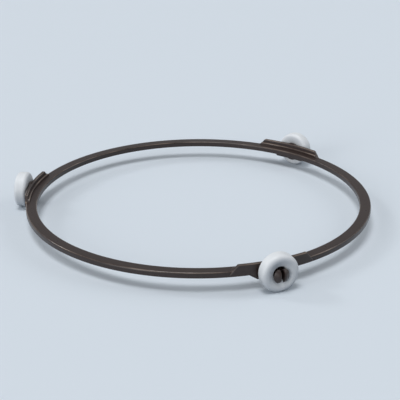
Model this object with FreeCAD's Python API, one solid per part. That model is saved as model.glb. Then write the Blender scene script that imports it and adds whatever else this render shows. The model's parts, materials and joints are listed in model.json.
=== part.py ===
"""Roller ring of a microwave oven's turntable: a moulded ring that carries free rollers on split snap axles.

Sizes are in millimetres. The origin is on the ring's axis, at the level of the oven floor that the
rollers stand on, and +Z is up. The first roller lies on the -X side of the ring.
"""
import FreeCAD
import Part
import math
import os

Vector = FreeCAD.Vector
X = Vector(1, 0, 0)
Y = Vector(0, 1, 0)
Z = Vector(0, 0, 1)

# ring band: a flat hoop with rounded edges, with the axles at half its height
RING_OUTER_D = 170.0
RING_WIDTH = 5.4
RING_HEIGHT = 2.8
RING_TOP_ROUND = 0.8
RING_BOTTOM_ROUND = 0.4

# rollers: a round-edged wheel whose bore flares out into a round-lipped mouth on the outer face
ROLLER_COUNT = 3
FIRST_ROLLER_AZIMUTH = 180.0
ROLLER_D = 17.5
ROLLER_WIDTH = 6.0
ROLLER_INNER_RIM_ROUND = 1.5
ROLLER_OUTER_RIM_ROUND = 1.9
LIP_WIDTH = 2.65            # from the tread in to the mouth
MOUTH_DEPTH = 1.2
MOUTH_LIP_ROUND = 3.0
MOUTH_THROAT_ROUND = 0.8

# pads: a raised wall on the band's rim behind each roller, with a ledge inside it and a web below
WALL_THICKNESS = 1.5
WALL_PROUD = 0.5            # beyond the band's outer face
WALL_RISE = 2.95            # above the band's top
LEDGE_WIDTH = 1.0
LEDGE_RISE = 1.25           # above the band's top
PAD_FOOT_LIFT = 0.3         # above the band's underside
PAD_TOP_LENGTH = 32.5
PAD_END_SLOPE = 50.0        # degrees from level
PAD_RIM_ROUND = 0.4
PAD_CORNER_ROUND = 0.8
WEB_DROP = 2.15             # below the band's underside
WEB_TOP_LENGTH = 23.0
WEB_END_SLOPE = 33.0        # degrees from level

# axles: a shoulder on the wall, then a shaft slit into two prongs, each with a barb on its outer side
SHOULDER_D = 9.6
SHOULDER_LENGTH = 0.55      # beyond the wall
SHOULDER_ROOT = 0.6         # sunk into the wall
AXLE_D = 5.0
HEAD_WIDTH = 7.4            # across the barbs
BARB_LAND = 0.35            # from the barbs' inner face to the nose
TIP_PROUD = 1.7             # beyond the roller's outer face
TIP_D = 3.6
TIP_ROUND = 2.0
SLIT_WIDTH = 1.6
SLIT_ROOT = 0.5             # from the shoulder to the slit's end

# clearances
BORE_CLEARANCE = 0.7        # on the radius, the roller is loose on its shaft
SEAT_GAP = 0.05             # under the shaft, which lies in the bottom of the bore
SHOULDER_GAP = 0.3          # from the shoulder to the roller
BARB_GAP = 0.9              # from the mouth's throat out to the barbs
HEAD_CLEARANCE = 0.1        # above and below the head as it passes the bore

ROUND_FLAT = 0.95           # a round is drawn as flats no longer than this

ring_outer_r = RING_OUTER_D / 2
ring_inner_r = ring_outer_r - RING_WIDTH
axle_r = AXLE_D / 2
bore_r = axle_r + BORE_CLEARANCE
roller_r = ROLLER_D / 2
mouth_r = roller_r - LIP_WIDTH
roller_z = roller_r
axle_z = roller_z - BORE_CLEARANCE + SEAT_GAP
ring_bottom = axle_z - RING_HEIGHT / 2
ring_top = ring_bottom + RING_HEIGHT

wall_outer_r = ring_outer_r + WALL_PROUD
wall_inner_r = wall_outer_r - WALL_THICKNESS
ledge_r = wall_inner_r - LEDGE_WIDTH
wall_top = ring_top + WALL_RISE
ledge_top = ring_top + LEDGE_RISE
pad_foot = ring_bottom + PAD_FOOT_LIFT
web_bottom = ring_bottom - WEB_DROP

# distances from the ring's axis, out along a roller's axle
shoulder_face = wall_outer_r + SHOULDER_LENGTH
roller_inner_face = shoulder_face + SHOULDER_GAP
roller_outer_face = roller_inner_face + ROLLER_WIDTH
throat = roller_outer_face - MOUTH_DEPTH
barb_face = throat + BARB_GAP
axle_tip = roller_outer_face + TIP_PROUD


def rounded_face(corners, across, up):
    """Face inside a closed outline of (across, up, round) corners, each round drawn as a few short flats."""
    points = [across * u + up * v for u, v, _ in corners]
    outline = []
    for i, here in enumerate(points):
        round_r = corners[i][2]
        if round_r == 0:
            outline.append(here)
            continue
        back = (points[i - 1] - here).normalize()
        ahead = (points[(i + 1) % len(points)] - here).normalize()
        half_angle = back.getAngle(ahead) / 2
        turn = math.pi - 2 * half_angle
        centre = here + (back + ahead).normalize() * (round_r / math.sin(half_angle))
        spoke = here + back * (round_r / math.tan(half_angle)) - centre
        flats = math.ceil(round_r * turn / ROUND_FLAT)
        for step in range(flats + 1):
            swing = FreeCAD.Rotation(ahead.cross(back), math.degrees(turn * step / flats))
            outline.append(centre + swing.multVec(spoke))
    return Part.Face(Part.makePolygon(outline + outline[:1]))


def turned(profile, z):
    """Solid turned about a level line along X, from (distance from the ring's axis, radius, round) corners."""
    corners = [(x, z + r, round_r) for x, r, round_r in profile]
    return rounded_face(corners, X, Z).revolve(Z * z, X, 360)


def ring_band():
    section = [
        (ring_inner_r, ring_bottom, RING_BOTTOM_ROUND),
        (ring_outer_r, ring_bottom, RING_BOTTOM_ROUND),
        (ring_outer_r, ring_top, RING_TOP_ROUND),
        (ring_inner_r, ring_top, RING_TOP_ROUND),
    ]
    return rounded_face(section, X, Z).revolve(Vector(), Z, 360)


def pad():
    """Curved wall and ledge on the +X side: a hoop of their section, trimmed to the outline seen from outside."""
    section = [
        (ledge_r, web_bottom, PAD_RIM_ROUND),
        (wall_outer_r, web_bottom, PAD_RIM_ROUND),
        (wall_outer_r, wall_top, PAD_RIM_ROUND),
        (wall_inner_r, wall_top, PAD_RIM_ROUND),
        (wall_inner_r, ledge_top, 0),
        (ledge_r, ledge_top, PAD_RIM_ROUND),
    ]
    hoop = rounded_face(section, X, Z).revolve(Vector(), Z, 360)
    top_half = PAD_TOP_LENGTH / 2
    foot_half = top_half + (wall_top - pad_foot) / math.tan(math.radians(PAD_END_SLOPE))
    web_half = WEB_TOP_LENGTH / 2
    web_bottom_half = web_half - (pad_foot - web_bottom) / math.tan(math.radians(WEB_END_SLOPE))
    right_side = [
        (web_bottom_half, web_bottom, PAD_CORNER_ROUND),
        (web_half, pad_foot, PAD_CORNER_ROUND),
        (foot_half, pad_foot, PAD_CORNER_ROUND),
        (top_half, wall_top, PAD_CORNER_ROUND),
    ]
    left_side = [(-y, z, round_r) for y, z, round_r in reversed(right_side)]
    outline = rounded_face(right_side + left_side, Y, Z)
    return hoop.common(outline.extrude(X * wall_outer_r))


def shoulder():
    length = SHOULDER_ROOT + SHOULDER_LENGTH
    return Part.makeCylinder(SHOULDER_D / 2, length, Vector(shoulder_face - length, 0, axle_z), X)


def prongs():
    """Shaft with a barbed nose, trimmed above and below to pass the bore, then slit so that it can spring."""
    barb_r = HEAD_WIDTH / 2
    profile = [
        (wall_outer_r, 0, 0),
        (wall_outer_r, axle_r, 0),
        (barb_face, axle_r, 0),
        (barb_face, barb_r, 0),
        (barb_face + BARB_LAND, barb_r, 0),
        (axle_tip, TIP_D / 2, TIP_ROUND),
        (axle_tip, 0, 0),
    ]
    height = 2 * (bore_r - HEAD_CLEARANCE)
    underside = axle_z - height / 2
    slab_corner = Vector(wall_outer_r, -barb_r, underside)
    slab = Part.makeBox(axle_tip - wall_outer_r, HEAD_WIDTH, height, slab_corner)
    slit_start = shoulder_face + SLIT_ROOT
    slit_corner = Vector(slit_start, -SLIT_WIDTH / 2, underside)
    slit = Part.makeBox(axle_tip - slit_start, SLIT_WIDTH, height, slit_corner)
    return turned(profile, axle_z).common(slab).cut(slit)


def roller():
    profile = [
        (roller_inner_face, bore_r, 0),
        (roller_inner_face, roller_r, ROLLER_INNER_RIM_ROUND),
        (roller_outer_face, roller_r, ROLLER_OUTER_RIM_ROUND),
        (roller_outer_face, mouth_r, MOUTH_LIP_ROUND),
        (throat, bore_r, MOUTH_THROAT_ROUND),
    ]
    return turned(profile, roller_z)


def turned_to(azimuth, shape):
    """Copy of a shape on the +X side, turned about the ring's axis to an azimuth in degrees."""
    copy = shape.copy()
    copy.rotate(Vector(), Z, azimuth)
    return copy


azimuths = [FIRST_ROLLER_AZIMUTH - i * 360 / ROLLER_COUNT for i in range(ROLLER_COUNT)]

os.makedirs("parts", exist_ok=True)

carrier = pad().multiFuse([shoulder(), prongs()])
carriers = [turned_to(azimuth, carrier) for azimuth in azimuths]
support_ring = ring_band().multiFuse(carriers).removeSplitter()
support_ring.exportStep("parts/support_ring.step")

wheel = roller()
for number, azimuth in enumerate(azimuths, start=1):
    turned_to(azimuth, wheel).exportStep(f"parts/roller_{number}.step")
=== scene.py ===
import json
import math
import bmesh
import bpy
from mathutils import Matrix, Vector


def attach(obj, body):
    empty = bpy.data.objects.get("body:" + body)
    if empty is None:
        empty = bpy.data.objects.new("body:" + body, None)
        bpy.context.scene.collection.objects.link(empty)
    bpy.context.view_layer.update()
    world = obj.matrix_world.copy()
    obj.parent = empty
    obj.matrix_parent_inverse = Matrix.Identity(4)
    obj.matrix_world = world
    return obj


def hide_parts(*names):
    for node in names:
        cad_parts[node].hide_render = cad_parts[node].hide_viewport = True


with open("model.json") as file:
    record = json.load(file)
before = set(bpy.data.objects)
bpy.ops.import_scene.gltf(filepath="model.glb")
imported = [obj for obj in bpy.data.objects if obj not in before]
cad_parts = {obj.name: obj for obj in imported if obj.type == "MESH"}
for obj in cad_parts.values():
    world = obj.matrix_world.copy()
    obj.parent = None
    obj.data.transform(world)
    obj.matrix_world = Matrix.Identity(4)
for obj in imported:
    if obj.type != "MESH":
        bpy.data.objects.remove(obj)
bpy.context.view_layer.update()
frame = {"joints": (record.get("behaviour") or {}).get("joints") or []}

# Support ring
# One dark taupe moulding of glass-filled PBT: a flat hoop with three pads on its rim, and on each pad a
# round shoulder and a stub axle that is slit into two barbed prongs. It leaves the mould in one shot.
MM = 0.001
HOOP_INNER_R = 79.6
HOOP_OUTER_R = 85.0
HOOP_BOTTOM = 6.7
HOOP_TOP = 9.5
HOOP_TOP_ROUND = 0.8
HOOP_BOTTOM_ROUND = 0.4
HOOP_STEPS = 288
WELD = 0.0005


def rounded(corners, chords=6):
    """Closed outline through (u, v, round) corners, with a few short chords along each round."""
    outline = []
    for i, (u, v, radius) in enumerate(corners):
        here = Vector((u, v))
        if radius == 0:
            outline.append(here)
            continue
        back = (Vector(corners[i - 1][:2]) - here).normalized()
        ahead = (Vector(corners[(i + 1) % len(corners)][:2]) - here).normalized()
        half = back.angle(ahead) / 2
        centre = here + (back + ahead).normalized() * (radius / math.sin(half))
        start = here + back * (radius / math.tan(half)) - centre
        end = here + ahead * (radius / math.tan(half)) - centre
        turn = math.copysign(math.pi - 2 * half, start.cross(end))
        outline += [centre + Matrix.Rotation(turn * k / chords, 2) @ start for k in range(chords + 1)]
    return outline


def skin(name, loops, ends):
    """Mesh of quads from each loop of points in mm to the next, with the end loops joined or capped."""
    form = bmesh.new()
    rows = [[form.verts.new(Vector(point) * MM) for point in loop] for loop in loops]
    count = len(loops[0])
    for low, high in zip(rows, rows[1:] + rows[:1] if ends == "joined" else rows[1:]):
        for i in range(count):
            form.faces.new((low[i - 1], low[i], high[i], high[i - 1]))
    for row in [rows[0], rows[-1]] if ends == "capped" else []:
        for i in range(count // 2 - 1):
            form.faces.new((row[i], row[i + 1], row[count - 2 - i], row[count - 1 - i]))
    bmesh.ops.remove_doubles(form, verts=form.verts, dist=WELD * MM)
    bmesh.ops.recalc_face_normals(form, faces=form.faces)
    mesh = bpy.data.meshes.new(name)
    form.to_mesh(mesh)
    form.free()
    return mesh


hoop_section = rounded([
    (HOOP_INNER_R, HOOP_BOTTOM, HOOP_BOTTOM_ROUND),
    (HOOP_OUTER_R, HOOP_BOTTOM, HOOP_BOTTOM_ROUND),
    (HOOP_OUTER_R, HOOP_TOP, HOOP_TOP_ROUND),
    (HOOP_INNER_R, HOOP_TOP, HOOP_TOP_ROUND),
])
hoop_turns = [math.tau * (step + 0.5) / HOOP_STEPS for step in range(HOOP_STEPS)]
hoop = skin(
    "hoop",
    [[(r * math.cos(a), r * math.sin(a), z) for r, z in hoop_section] for a in hoop_turns],
    "joined",
)

# Each pad is a curved plate against the rim: a tall wall outside, a lower ledge inside it and a web below,
# with sloped ends. Its edges are rounded all round, as in a mould cut with a small ball cutter.
WALL_OUTER_R = 85.5
WALL_INNER_R = 84.0
LEDGE_R = 83.0
WALL_TOP = 12.45
LEDGE_TOP = 10.75
PAD_FOOT = 7.0
WEB_BOTTOM = 4.55
PAD_TOP_HALF = 16.25
PAD_FOOT_HALF = 20.82
WEB_TOP_HALF = 11.5
WEB_BOTTOM_HALF = 7.73
PAD_RIM_ROUND = 0.4
PAD_CORNER_ROUND = 0.8
PAD_STEP = 0.5
PAD_STEPS = 39  # on each side of the middle
LEAST_STEP = 0.05
RIM_CHORDS = 4

pad_side = [
    (WEB_BOTTOM_HALF, WEB_BOTTOM),
    (WEB_TOP_HALF, PAD_FOOT),
    (PAD_FOOT_HALF, PAD_FOOT),
    (PAD_TOP_HALF, WALL_TOP),
]
pad_corners = pad_side + [(-y, z) for y, z in reversed(pad_side)]
pad_outline = rounded([(y, z, PAD_CORNER_ROUND) for y, z in pad_corners])
left_tip = min(range(len(pad_outline)), key=lambda i: pad_outline[i].x)
right_tip = max(range(len(pad_outline)), key=lambda i: pad_outline[i].x)
pad_lower = pad_outline[left_tip:] + pad_outline[:right_tip + 1]
pad_upper = pad_outline[right_tip:left_tip + 1][::-1]


def level(chain, y):
    """Height of a chain of points, in order along the pad, at one place along it."""
    for a, b in zip(chain, chain[1:]):
        if a.x <= y <= b.x:
            return a.y + (b.y - a.y) * (y - a.x) / max(b.x - a.x, 1e-6)


pad_stations = [pad_upper[0].x]
even_steps = [PAD_STEP * k for k in range(-PAD_STEPS, PAD_STEPS + 1)]
for y in sorted([p.x for p in pad_outline] + even_steps):
    if y - pad_stations[-1] > LEAST_STEP:
        pad_stations.append(y)
pad_stations[-1] = pad_upper[-1].x
wall_tops = [level(pad_upper, y) for y in pad_stations]
ledge_tops = [min(z, LEDGE_TOP) for z in wall_tops]
pad_bottoms = [level(pad_lower, y) for y in pad_stations]


def pad_loop(r, tops, top_insets, bottom_inset):
    """Outline of a pad at one distance from the ring's axis, drawn in from its full edge by the insets."""
    edge = list(zip(pad_stations, tops)) + list(zip(pad_stations, pad_bottoms))[::-1]
    insets = top_insets + [bottom_inset] * len(pad_stations)
    loop = []
    for i, (y, z) in enumerate(edge):
        along = Vector(edge[(i + 1) % len(edge)]) - Vector(edge[i - 1])
        inward = along.orthogonal().normalized()
        y, z = Vector((y, z)) - inward * insets[i]
        loop.append((math.sqrt(r * r - y * y), y, z))
    return loop


flush = [0] * len(pad_stations)
quarter = [math.pi / 2 * k / RIM_CHORDS for k in range(RIM_CHORDS + 1)]
draws = [(PAD_RIM_ROUND * (1 - math.cos(t)), PAD_RIM_ROUND * (1 - math.sin(t))) for t in quarter]
wall_rises = [top - ledge for top, ledge in zip(wall_tops, ledge_tops)]
pad_loops = [pad_loop(WALL_OUTER_R - back, wall_tops, [inset] * len(flush), inset) for back, inset in draws]
pad_loops += [
    pad_loop(WALL_INNER_R + back, wall_tops, [min(inset, rise / 2) for rise in wall_rises], 0)
    for back, inset in reversed(draws)
]
pad_loops += [pad_loop(WALL_INNER_R, ledge_tops, flush, 0)]
pad_loops += [
    pad_loop(LEDGE_R + back, ledge_tops, [inset] * len(flush), inset)
    for back, inset in reversed(draws)
]
pad = skin("pad", pad_loops, "capped")

# The shoulder keeps the roller off the pad. The axle beyond it is slit from the tip, so that its prongs can
# spring together while a roller is pushed on over their barbs. The head is flat above and below, so that it
# can pass the bore.
AXLE_Z = 8.1
SHOULDER_R = 4.8
SHOULDER_BACK = 84.9
SHOULDER_FACE = 86.05
SHOULDER_ROUND = 0.25
AXLE_R = 2.5
STUB_R = 2.48  # of the unslit root, just inside the prongs' round sides
SLIT_FLOOR = 86.55
SLIT_HALF = 0.8
BARB_FACE = 92.05
BARB_R = 3.7
BARB_LAND = 0.35
BARB_ROUND = 0.15
TIP_R = 1.8
TIP_ROUND = 2.0
TIP_FLAT_R = 1.0
AXLE_TIP = 94.05
FACE_LEAN = 0.03  # a trace of taper on the barbs' inner face and on the tip
HEAD_HALF_HEIGHT = 3.1
CIRCLE_STEPS = 100
PRONG_STEPS = 112
ARC_CHORDS = 40  # on each side of the middle
SOFTENINGS = 2

shoulder_profile = rounded([
    (SHOULDER_BACK, SHOULDER_R, 0),
    (SHOULDER_FACE, SHOULDER_R, SHOULDER_ROUND),
    (SHOULDER_FACE, STUB_R, 0),
    (SLIT_FLOOR, STUB_R, 0),
])
circle_turns = [math.tau * (step + 0.5) / CIRCLE_STEPS for step in range(CIRCLE_STEPS)]
shoulder = skin(
    "shoulder",
    [[(x, r * math.cos(a), AXLE_Z + r * math.sin(a)) for a in circle_turns] for x, r in shoulder_profile],
    "capped",
)


def prong_loop(x, r, side):
    """Evenly spaced outline of a prong where its round side has radius r, softened at the corners."""
    half_height = min(HEAD_HALF_HEIGHT, math.sqrt(r * r - SLIT_HALF * SLIT_HALF))
    swing = math.asin(half_height / r)
    arc_turns = [swing * k / ARC_CHORDS for k in range(-ARC_CHORDS, ARC_CHORDS + 1)]
    arc = [Vector((r * math.cos(a), r * math.sin(a))) for a in arc_turns]
    lower = Vector((SLIT_HALF, -half_height))
    upper = Vector((SLIT_HALF, half_height))
    path = [Vector((SLIT_HALF, 0)), lower, *arc, upper, Vector((SLIT_HALF, 0))]
    walked = [0]
    for a, b in zip(path, path[1:]):
        walked.append(walked[-1] + (b - a).length)
    even = []
    for step in range(PRONG_STEPS):
        goal = walked[-1] * (step + 0.5) / PRONG_STEPS
        i = next(k for k in range(1, len(path)) if walked[k] >= goal)
        even.append(path[i - 1].lerp(path[i], (goal - walked[i - 1]) / (walked[i] - walked[i - 1])))
    for _ in range(SOFTENINGS):
        even = [(even[i - 2] + even[i - 1] * 2 + even[i]) / 4 for i in range(PRONG_STEPS)]
        even = even[1:] + even[:1]
    # the loop starts a quarter of the way round, so that the strips of its cap cross the prong
    even = even[PRONG_STEPS // 4:] + even[:PRONG_STEPS // 4]
    return [(x, side * p.x, AXLE_Z + p.y) for p in even]


head_profile = rounded([
    (BARB_FACE, AXLE_R, 0),
    (BARB_FACE + FACE_LEAN, BARB_R, BARB_ROUND),
    (BARB_FACE + BARB_LAND, BARB_R, BARB_ROUND),
    (AXLE_TIP - FACE_LEAN, TIP_R, TIP_ROUND),
    (AXLE_TIP, TIP_FLAT_R, 0),
])
prong_profile = [Vector((SHOULDER_FACE - SHOULDER_ROUND, AXLE_R))] + head_profile
prongs = [skin("prong", [prong_loop(x, r, side) for x, r in prong_profile], "capped") for side in (1, -1)]


def fused(forms):
    """One closed mesh from several closed ones that overlap."""
    holders = [bpy.data.objects.new(form.name, form) for form in forms]
    for holder in holders:
        bpy.context.scene.collection.objects.link(holder)
    for other in holders[1:]:
        join = holders[0].modifiers.new("join", "BOOLEAN")
        join.operation = "UNION"
        join.solver = "EXACT"
        join.object = other
    seen = bpy.context.evaluated_depsgraph_get()
    mesh = bpy.data.meshes.new_from_object(holders[0].evaluated_get(seen))
    for holder in holders:
        bpy.data.objects.remove(holder)
    return mesh


carrier = fused([pad, shoulder, *prongs])
carriers = []
for joint in frame["joints"]:
    x, y, _ = joint["pos_m"]
    placed = carrier.copy()
    placed.transform(Matrix.Rotation(math.atan2(y, x), 4, "Z"))
    carriers.append(placed)
ring_mesh = fused([hoop, *carriers])
ring_mesh.name = "support_ring_moulding"


def colour(code):
    """Linear colour, with full alpha, from an sRGB hex code."""
    parts = [int(code[i:i + 2], 16) / 255 for i in (1, 3, 5)]
    return [p / 12.92 if p <= 0.04045 else ((p + 0.055) / 1.055) ** 2.4 for p in parts] + [1]


def node(tree, kind, inputs, **settings):
    """Adds a node with its settings. Each input is given a value, or linked where an output is given."""
    made = tree.nodes.new(kind)
    for name, value in settings.items():
        setattr(made, name, value)
    for name, value in inputs.items():
        if isinstance(value, bpy.types.NodeSocket):
            tree.links.new(value, made.inputs[name])
        else:
            made.inputs[name].default_value = value
    return made


# Glass-filled PBT, moulded against a spark-eroded tool: a dull satin brown with weak, broad highlights.
# The melt leaves faint lighter streaks along the hoop, and the short fibres a fine mottle. Handling has
# rubbed the top edges smoother in uneven stretches, and there they are also painted lighter: a painted
# highlight for the thin broken line of light that they catch.
pbt = bpy.data.materials.new("pbt_moulded_spark_eroded")
pbt.use_nodes = True
tree = pbt.node_tree
place = node(tree, "ShaderNodeTexCoord", {}).outputs["Object"]
apart = node(tree, "ShaderNodeSeparateXYZ", {"Vector": place})
turn = node(tree, "ShaderNodeMath", {0: apart.outputs["Y"], 1: apart.outputs["X"]}, operation="ARCTAN2")
flat = node(tree, "ShaderNodeVectorMath", {0: place, 1: (1, 1, 0)}, operation="MULTIPLY")
reach = node(tree, "ShaderNodeVectorMath", {0: flat.outputs["Vector"]}, operation="LENGTH")
# streaks about 12 mm long (8 degrees of turn) and 0.9 mm wide
turns = node(tree, "ShaderNodeMath", {0: turn.outputs["Value"], 1: 180 / math.pi / 8}, operation="MULTIPLY")
widths = node(tree, "ShaderNodeMath", {0: reach.outputs["Value"], 1: 1 / (0.9 * MM)}, operation="MULTIPLY")
heights = node(tree, "ShaderNodeMath", {0: apart.outputs["Z"], 1: 1 / (0.9 * MM)}, operation="MULTIPLY")
flow = node(
    tree,
    "ShaderNodeCombineXYZ",
    {"X": turns.outputs["Value"], "Y": widths.outputs["Value"], "Z": heights.outputs["Value"]},
)
streaks = node(
    tree,
    "ShaderNodeTexNoise",
    {"Vector": flow.outputs["Vector"], "Scale": 1, "Detail": 3, "Roughness": 0.5},
)
# mottle of fibre clumps about 1.5 mm across
mottle = node(
    tree,
    "ShaderNodeTexNoise",
    {"Vector": place, "Scale": 1 / (1.5 * MM), "Detail": 4, "Roughness": 0.6},
)
streaked = node(
    tree,
    "ShaderNodeMix",
    {0: streaks.outputs["Fac"], 6: colour("#352A27"), 7: colour("#453935")},
    data_type="RGBA",
)
mottled = node(
    tree,
    "ShaderNodeMix",
    {0: mottle.outputs["Fac"], 6: colour("#2F2523"), 7: streaked.outputs[2]},
    data_type="RGBA",
)
# a band within about 0.4 mm of the top edges' corners is rubbed smoother and gets a painted highlight,
# in uneven stretches about 20 mm long
section = node(tree, "ShaderNodeCombineXYZ", {"X": reach.outputs["Value"], "Y": apart.outputs["Z"]})
nearest = HOOP_OUTER_R * MM  # more than any of the distances
for r, z in (
    (HOOP_INNER_R, HOOP_TOP),
    (HOOP_OUTER_R, HOOP_TOP),
    (LEDGE_R, LEDGE_TOP),
    (WALL_INNER_R, WALL_TOP),
    (WALL_OUTER_R, WALL_TOP),
):
    ends = {0: section.outputs["Vector"], 1: (r * MM, z * MM, 0)}
    away = node(tree, "ShaderNodeVectorMath", ends, operation="DISTANCE").outputs["Value"]
    nearest = node(tree, "ShaderNodeMath", {0: nearest, 1: away}, operation="MINIMUM").outputs["Value"]
stretches = node(tree, "ShaderNodeTexNoise", {"Vector": place, "Scale": 1 / (20 * MM), "Detail": 2})
uneven = node(
    tree,
    "ShaderNodeMapRange",
    {"Value": stretches.outputs["Fac"], "From Min": 0.42, "From Max": 0.62, "To Min": 0.1, "To Max": 1},
)
rubbing_and_painted_sheen = node(
    tree,
    "ShaderNodeMapRange",
    {
        "Value": nearest,
        "From Min": 0.3 * MM,
        "From Max": 0.5 * MM,
        "To Min": uneven.outputs["Result"],
        "To Max": 0,
    },
)
# in the rubbed stretches the brown is painted lighter: a painted highlight for the line of light on the
# edges
painted_edge_highlight = node(
    tree,
    "ShaderNodeMix",
    {0: rubbing_and_painted_sheen.outputs["Result"], 6: mottled.outputs[2], 7: colour("#887A70")},
    data_type="RGBA",
)
dullness = node(
    tree,
    "ShaderNodeMapRange",
    {"Value": mottle.outputs["Fac"], "From Min": 0.3, "From Max": 0.7, "To Min": 0.27, "To Max": 0.37},
)
burnished = node(
    tree,
    "ShaderNodeMix",
    {0: rubbing_and_painted_sheen.outputs["Result"], 2: dullness.outputs["Result"], 3: 0.1},
)
# the eroded grain is about 0.1 mm, drawn at 0.4 mm so that it shows
grain = node(
    tree,
    "ShaderNodeTexNoise",
    {"Vector": place, "Scale": 1 / (0.4 * MM), "Detail": 3, "Roughness": 0.7},
)
relief = node(
    tree,
    "ShaderNodeBump",
    {"Height": grain.outputs["Fac"], "Strength": 0.25, "Distance": 0.05 * MM},
)
shader = tree.nodes["Principled BSDF"]
shader.inputs["IOR"].default_value = 1.55
shader.inputs["Specular IOR Level"].default_value = 0.4
tree.links.new(painted_edge_highlight.outputs[2], shader.inputs["Base Color"])
tree.links.new(burnished.outputs[0], shader.inputs["Roughness"])
tree.links.new(relief.outputs["Normal"], shader.inputs["Normal"])

# edges that turn by more degrees than this stay sharp
CREASE = 33
ring_mesh.materials.clear()
ring_mesh.materials.append(pbt)
ring_mesh.shade_smooth()
ring_mesh.set_sharp_from_angle(angle=math.radians(CREASE))
ring = bpy.data.objects.new("support_ring_moulding", ring_mesh)
bpy.context.scene.collection.objects.link(ring)
ring.modifiers.new("even_normals", "WEIGHTED_NORMAL").keep_sharp = True
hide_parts("support_ring")
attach(ring, "ring")

# Rollers
# Three equal white wheels of acetal, each moulded in one piece and pushed over the barbs of its axle. The
# rims are well rounded, and on the outer face the bore, loose on the axle, opens into a round-lipped mouth.
ROLLER_R = 8.75
ROLLER_HALF_WIDTH = 3.0
INNER_RIM_ROUND = 1.5
OUTER_RIM_ROUND = 1.9
MOUTH_R = 6.1
MOUTH_DEPTH = 1.2
MOUTH_LIP_ROUND = 3.0
MOUTH_THROAT_ROUND = 0.8
BORE_R = 3.2
ROLLER_CHORDS = 12
ROLLER_STEPS = 160

roller_profile = rounded([
    (-ROLLER_HALF_WIDTH, BORE_R, 0),
    (-ROLLER_HALF_WIDTH, ROLLER_R, INNER_RIM_ROUND),
    (ROLLER_HALF_WIDTH, ROLLER_R, OUTER_RIM_ROUND),
    (ROLLER_HALF_WIDTH, MOUTH_R, MOUTH_LIP_ROUND),
    (ROLLER_HALF_WIDTH - MOUTH_DEPTH, BORE_R, MOUTH_THROAT_ROUND),
], chords=ROLLER_CHORDS)
roller_turns = [math.tau * step / ROLLER_STEPS for step in range(ROLLER_STEPS)]
roller_mesh = skin(
    "roller",
    [[(x, r * math.cos(a), r * math.sin(a)) for x, r in roller_profile] for a in roller_turns],
    "joined",
)

# White acetal, moulded in a polished cavity: a waxy white with a soft sheen, a little milky where light
# enters its edges, with a faint cool cloudiness.
acetal = bpy.data.materials.new("acetal_moulded_polished")
acetal.use_nodes = True
tree = acetal.node_tree
place = node(tree, "ShaderNodeTexCoord", {}).outputs["Object"]
# clouds about 4 mm across
clouds = node(
    tree,
    "ShaderNodeTexNoise",
    {"Vector": place, "Scale": 1 / (4 * MM), "Detail": 3, "Roughness": 0.55},
)
milky = node(
    tree,
    "ShaderNodeMix",
    {0: clouds.outputs["Fac"], 6: colour("#E0E5EA"), 7: colour("#EDF0F3")},
    data_type="RGBA",
)
gloss = node(
    tree,
    "ShaderNodeMapRange",
    {"Value": clouds.outputs["Fac"], "From Min": 0.3, "From Max": 0.7, "To Min": 0.34, "To Max": 0.46},
)
# faint dimples from the cavity's polish, about 0.5 mm
dimples = node(
    tree,
    "ShaderNodeTexNoise",
    {"Vector": place, "Scale": 1 / (0.5 * MM), "Detail": 2, "Roughness": 0.5},
)
relief = node(
    tree,
    "ShaderNodeBump",
    {"Height": dimples.outputs["Fac"], "Strength": 0.1, "Distance": 0.04 * MM},
)
shader = tree.nodes["Principled BSDF"]
shader.inputs["IOR"].default_value = 1.48
shader.inputs["Subsurface Weight"].default_value = 0.1
shader.inputs["Subsurface Radius"].default_value = (1, 1, 1)
shader.inputs["Subsurface Scale"].default_value = 0.8 * MM
tree.links.new(milky.outputs[2], shader.inputs["Base Color"])
tree.links.new(gloss.outputs["Result"], shader.inputs["Roughness"])
tree.links.new(relief.outputs["Normal"], shader.inputs["Normal"])

roller_mesh.materials.append(acetal)
roller_mesh.shade_smooth()
for number, joint in enumerate(frame["joints"], start=1):
    roller = bpy.data.objects.new(f"roller_{number}_wheel", roller_mesh)
    bpy.context.scene.collection.objects.link(roller)
    x, y, _ = joint["pos_m"]
    roller.matrix_world = Matrix.Translation(joint["pos_m"]) @ Matrix.Rotation(math.atan2(y, x), 4, "Z")
    roller.modifiers.new("even_normals", "WEIGHTED_NORMAL")
    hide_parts(f"roller_{number}")
    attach(roller, joint["child"])

# Studio
# The ring stands on a wide sheet of plain pale card, under far soft lights from above, the front left and
# the right, and a narrower one from the left for the edges, in an even pale surround. The card throws back
# less light than it shows, so that undersides keep their shade.
FLOOR_HALF = 6.0
CARD_SEEN = "#DDE6EF"
CARD_BOUNCE = "#58697A"
SURROUND = "#F4F7FA"
SURROUND_STRENGTH = 0.35

sheet = bmesh.new()
bmesh.ops.create_grid(sheet, x_segments=1, y_segments=1, size=FLOOR_HALF)
floor_mesh = bpy.data.meshes.new("floor")
sheet.to_mesh(floor_mesh)
sheet.free()
card = bpy.data.materials.new("card_plain_matt")
card.use_nodes = True
tree = card.node_tree
rays = node(tree, "ShaderNodeLightPath", {}).outputs
seen = node(
    tree,
    "ShaderNodeMath",
    {0: rays["Is Camera Ray"], 1: rays["Is Glossy Ray"]},
    operation="MAXIMUM",
)
shown = node(
    tree,
    "ShaderNodeMath",
    {0: seen.outputs["Value"], 1: rays["Is Transmission Ray"]},
    operation="MAXIMUM",
)
tint = node(
    tree,
    "ShaderNodeMix",
    {0: shown.outputs["Value"], 6: colour(CARD_BOUNCE), 7: colour(CARD_SEEN)},
    data_type="RGBA",
)
shader = tree.nodes["Principled BSDF"]
shader.inputs["Roughness"].default_value = 0.9
shader.inputs["Specular IOR Level"].default_value = 0.1
tree.links.new(tint.outputs[2], shader.inputs["Base Color"])
floor_mesh.materials.append(card)
floor = bpy.data.objects.new("floor", floor_mesh)
bpy.context.scene.collection.objects.link(floor)

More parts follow.
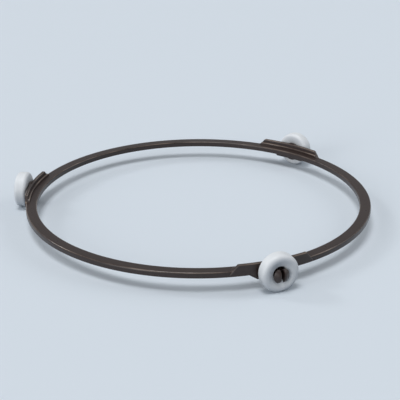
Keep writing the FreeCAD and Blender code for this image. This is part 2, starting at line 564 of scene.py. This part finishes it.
world = bpy.data.worlds.new("surround")
bpy.context.scene.world = world
world.use_nodes = True
background = world.node_tree.nodes["Background"]
background.inputs["Color"].default_value = colour(SURROUND)
background.inputs["Strength"].default_value = SURROUND_STRENGTH

# each light has the place that it shines from, a spread in degrees and a strength
for name, spot, spread, strength in (
    ("top_soft_light", (-0.3, -0.5, 2.7), 25, 1.1),
    ("left_soft_light", (-1.2, -1.7, 0.55), 34, 1.05),
    ("right_soft_light", (1.8, 0.7, 1.1), 36, 0.45),
    ("left_edge_light", (-1.6, 0.5, 1.1), 12, 0.35),
):
    lamp = bpy.data.lights.new(name, "SUN")
    lamp.angle = math.radians(spread)
    lamp.energy = strength
    stand = bpy.data.objects.new(name, lamp)
    bpy.context.scene.collection.objects.link(stand)
    stand.location = spot
    stand.rotation_euler = (-Vector(spot)).to_track_quat("-Z", "Y").to_euler()

# Camera
# A short telephoto about half a metre away, a little above the ring and slightly to the right of the front.
CAMERA_AZIMUTH = 7.52
CAMERA_ELEVATION = 23.6
CAMERA_DISTANCE = 537.2
CAMERA_ROLL = -0.0025
ORBIT_Z = -0.417
AIM_RIGHT = 0.82
AIM_UP = 7.13
SENSOR = 36.0
FOCAL = 96.47

swing = math.radians(CAMERA_AZIMUTH)
rise = math.radians(CAMERA_ELEVATION)
back = Vector((math.sin(swing) * math.cos(rise), -math.cos(swing) * math.cos(rise), math.sin(rise)))
right = Vector((math.cos(swing), math.sin(swing), 0))
over = back.cross(right)
centre = Vector((0, 0, ORBIT_Z)) * MM
aim = centre + (right * AIM_RIGHT + over * AIM_UP) * MM
camera = bpy.data.objects.new("camera", bpy.data.cameras.new("camera"))
bpy.context.scene.collection.objects.link(camera)
camera.location = centre + back * CAMERA_DISTANCE * MM
camera.rotation_euler = (aim - camera.location).to_track_quat("-Z", "Y").to_euler()
camera.rotation_euler.rotate_axis("Z", CAMERA_ROLL)
camera.data.sensor_width = SENSOR
camera.data.lens = FOCAL
camera.data.clip_start = 0.01
bpy.context.scene.camera = camera
bpy.context.scene.view_settings.view_transform = "Standard"
